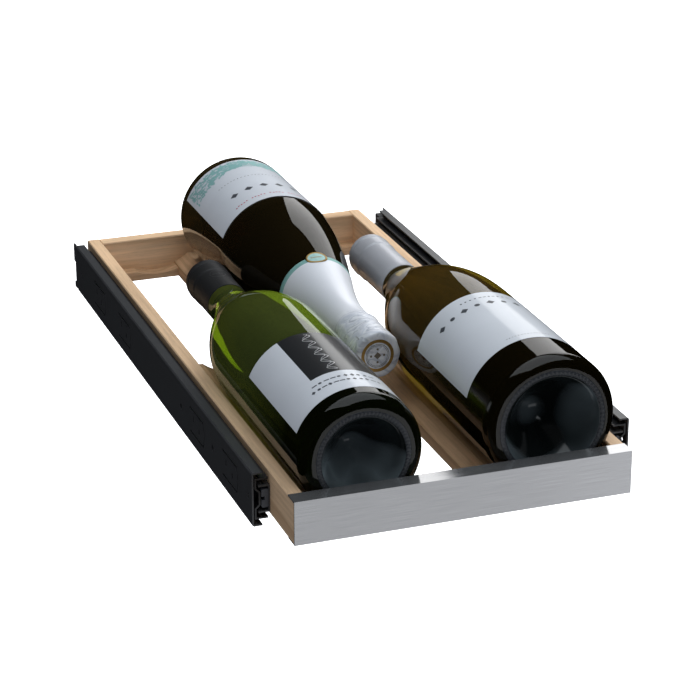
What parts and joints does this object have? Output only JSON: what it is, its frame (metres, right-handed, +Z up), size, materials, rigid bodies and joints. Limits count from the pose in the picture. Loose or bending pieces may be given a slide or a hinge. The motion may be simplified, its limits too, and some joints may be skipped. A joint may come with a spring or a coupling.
{
  "type": "wine cooler pull-out shelf",
  "caption": "Pull-out wooden wine cooler shelf with a steel trim, telescopic ball slides, shaped slats and bottles lying head to tail.",
  "frame": {"origin": "centre of the whole object in plan, on the level of the slides' lower edges", "axes": "+Z up; -Y towards the user, the way the shelf pulls out; +X to the user's right"},
  "size_m": [0.2552, 0.5, 0.1002],
  "materials": {
    "beech_rail": "clear matt lacquer, fine straight grain",
    "beech_slat": "clear matt lacquer, fine straight grain",
    "beech_dowel": "plain, fluted",
    "brushed_trim": "horizontal brush",
    "zinc_screw": "zinc plated",
    "black_steel": "black plated, satin",
    "cage_steel": "dark plated strip",
    "ball_steel": "polished",
    "black_plastic": "moulded",
    "green_glass": "olive green, clear",
    "bottle_green_glass": "deep green, clear",
    "dark_glass": "very dark olive",
    "pale_wine": "pale straw liquid",
    "amber_wine": "amber liquid",
    "cork": "natural cork",
    "black_capsule": "matt black foil",
    "silver_capsule": "satin silver foil",
    "pearl_foil": "pearl white foil, softly creased",
    "gilt_plate": "printed metal",
    "wire": "bright wire",
    "label_paper": "uncoated white paper",
    "black_label": "black printed paper"
  },
  "bodies": {
    "cabinet_side": {"left_cabinet_member": "black_steel", "right_cabinet_member": "black_steel", "left_rear_bumper": "black_plastic", "right_rear_bumper": "black_plastic"},
    "shelf": {"left_side_rail": "beech_rail", "right_side_rail": "beech_rail", "front_rail": "beech_rail", "rear_rail": "beech_rail", "front_trim": "brushed_trim", "front_batten": "beech_slat", "rear_batten": "beech_slat", "left_slat": "beech_slat", "right_slat": "beech_slat", "left_side_board": "beech_slat", "right_side_board": "beech_slat", "corner_dowels": "beech_dowel", "board_dowels": "beech_dowel", "slat_screws": "zinc_screw", "batten_screws": "zinc_screw", "trim_screws": "zinc_screw", "right_packing_strip": "black_plastic", "left_slide_screws": "zinc_screw", "right_slide_screws": "zinc_screw", "left_shelf_member": "black_steel", "right_shelf_member": "black_steel", "left_front_stop": "black_plastic", "right_front_stop": "black_plastic"},
    "left_intermediate": {"left_intermediate_member": "black_steel"},
    "left_outer_ball_cage": {"left_outer_cage": "cage_steel", "left_outer_balls": "ball_steel"},
    "left_inner_ball_cage": {"left_inner_cage": "cage_steel", "left_inner_balls": "ball_steel"},
    "left_lever": {"left_release_lever": "black_plastic"},
    "right_intermediate": {"right_intermediate_member": "black_steel"},
    "right_outer_ball_cage": {"right_outer_cage": "cage_steel", "right_outer_balls": "ball_steel"},
    "right_inner_ball_cage": {"right_inner_cage": "cage_steel", "right_inner_balls": "ball_steel"},
    "right_lever": {"right_release_lever": "black_plastic"},
    "left_bottle": {"left_bottle_glass": "green_glass", "left_bottle_wine": "pale_wine", "left_bottle_cork": "cork", "left_bottle_capsule": "black_capsule", "left_bottle_label": "label_paper", "left_bottle_label_panel": "black_label"},
    "right_bottle": {"right_bottle_glass": "bottle_green_glass", "right_bottle_wine": "amber_wine", "right_bottle_cork": "cork", "right_bottle_capsule": "silver_capsule", "right_bottle_label": "label_paper"},
    "sparkling_bottle": {"sparkling_bottle_glass": "dark_glass", "sparkling_bottle_wine": "pale_wine", "sparkling_bottle_cork": "cork", "sparkling_bottle_wire_cage": "wire", "sparkling_bottle_cap_plate": "gilt_plate", "sparkling_bottle_foil": "pearl_foil", "sparkling_bottle_badge": "gilt_plate", "sparkling_bottle_label": "label_paper"}
  },
  "joints": [
    {"name": "shelf_pull", "type": "slide", "parent": "cabinet_side", "child": "shelf", "axis": [0, -1, 0], "range_m": [0, 0.4]},
    {"name": "left_intermediate_slide", "type": "slide", "parent": "cabinet_side", "child": "left_intermediate", "axis": [0, -1, 0], "range_m": [0, 0.2]},
    {"name": "left_outer_cage_slide", "type": "slide", "parent": "cabinet_side", "child": "left_outer_ball_cage", "axis": [0, -1, 0], "range_m": [0, 0.1]},
    {"name": "left_inner_cage_slide", "type": "slide", "parent": "cabinet_side", "child": "left_inner_ball_cage", "axis": [0, -1, 0], "range_m": [0, 0.3]},
    {"name": "right_intermediate_slide", "type": "slide", "parent": "cabinet_side", "child": "right_intermediate", "axis": [0, -1, 0], "range_m": [0, 0.2]},
    {"name": "right_outer_cage_slide", "type": "slide", "parent": "cabinet_side", "child": "right_outer_ball_cage", "axis": [0, -1, 0], "range_m": [0, 0.1]},
    {"name": "right_inner_cage_slide", "type": "slide", "parent": "cabinet_side", "child": "right_inner_ball_cage", "axis": [0, -1, 0], "range_m": [0, 0.3]},
    {"name": "left_lever_pivot", "type": "hinge", "parent": "shelf", "child": "left_lever", "pos_m": [-0.11675, -0.0532, 0.01805], "axis": [1, 0, 0], "range_deg": [0, 4], "stiffness_Nm_per_rad": 0.05},
    {"name": "right_lever_pivot", "type": "hinge", "parent": "shelf", "child": "right_lever", "pos_m": [0.11675, -0.0532, 0.01805], "axis": [1, 0, 0], "range_deg": [0, 4], "stiffness_Nm_per_rad": 0.05},
    {"name": "left_bottle_lift", "type": "slide", "parent": "shelf", "child": "left_bottle", "axis": [0, 0, 1], "range_m": [0, 0.15]},
    {"name": "right_bottle_lift", "type": "slide", "parent": "shelf", "child": "right_bottle", "axis": [0, 0, 1], "range_m": [0, 0.15]},
    {"name": "sparkling_bottle_lift", "type": "slide", "parent": "shelf", "child": "sparkling_bottle", "axis": [0, 0, 1], "range_m": [0, 0.15]}
  ],
  "couplings": [
    {"joint": "left_intermediate_slide", "follows": "shelf_pull", "ratio": 0.5},
    {"joint": "left_outer_cage_slide", "follows": "shelf_pull", "ratio": 0.25},
    {"joint": "left_inner_cage_slide", "follows": "shelf_pull", "ratio": 0.75},
    {"joint": "right_intermediate_slide", "follows": "shelf_pull", "ratio": 0.5},
    {"joint": "right_outer_cage_slide", "follows": "shelf_pull", "ratio": 0.25},
    {"joint": "right_inner_cage_slide", "follows": "shelf_pull", "ratio": 0.75}
  ]
}
